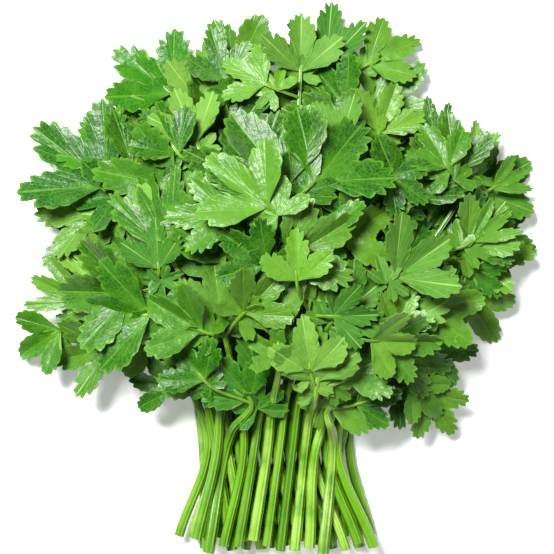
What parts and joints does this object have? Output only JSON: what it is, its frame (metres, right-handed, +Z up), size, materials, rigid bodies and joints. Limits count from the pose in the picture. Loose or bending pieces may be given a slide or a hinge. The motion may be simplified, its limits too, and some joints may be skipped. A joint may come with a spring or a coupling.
{
  "type": "cut bunch of flat-leaf parsley",
  "caption": "Loose fresh-cut bunch of flat-leaf parsley lying down: bare green stems fanning into a dense crown of toothed, lobed leaves.",
  "frame": {"origin": "centre of the bunch's outline, on the surface that it lies on", "axes": "+Y along the bunch from the cut ends to the leaf tips, +Z up from the surface"},
  "size_m": [0.2158, 0.2276, 0.058],
  "materials": {
    "leaf": "fresh green leaf, softly glossy above and paler below, with fine pale veins",
    "stem": "smooth yellow-green stalk with fine lengthwise ridges and a pale cut end"
  },
  "bodies": {
    "root": {"sprig_01": "leaf", "sprig_02": "leaf", "sprig_03": "leaf", "sprig_04": "leaf", "sprig_05": "leaf", "sprig_06": "leaf", "sprig_07": "leaf", "sprig_08": "leaf", "sprig_09": "leaf", "sprig_10": "leaf", "sprig_11": "leaf", "sprig_12": "leaf", "sprig_13": "leaf", "sprig_14": "leaf", "sprig_15": "leaf", "sprig_16": "leaf", "sprig_17": "leaf", "sprig_18": "leaf", "sprig_19": "leaf", "sprig_20": "leaf", "sprig_21": "leaf", "sprig_22": "leaf", "sprig_23": "leaf", "sprig_24": "leaf", "sprig_25": "leaf", "sprig_26": "leaf", "sprig_27": "leaf", "sprig_28": "leaf", "sprig_29": "leaf", "sprig_30": "leaf", "sprig_31": "leaf", "sprig_32": "leaf", "sprig_33": "leaf", "sprig_34": "leaf", "sprig_35": "leaf", "sprig_36": "leaf", "sprig_37": "leaf", "sprig_38": "leaf", "sprig_39": "leaf", "sprig_40": "leaf", "sprig_41": "leaf", "sprig_42": "leaf", "sprig_43": "leaf", "sprig_44": "leaf", "sprig_45": "leaf", "sprig_46": "leaf"}
  },
  "joints": []
}
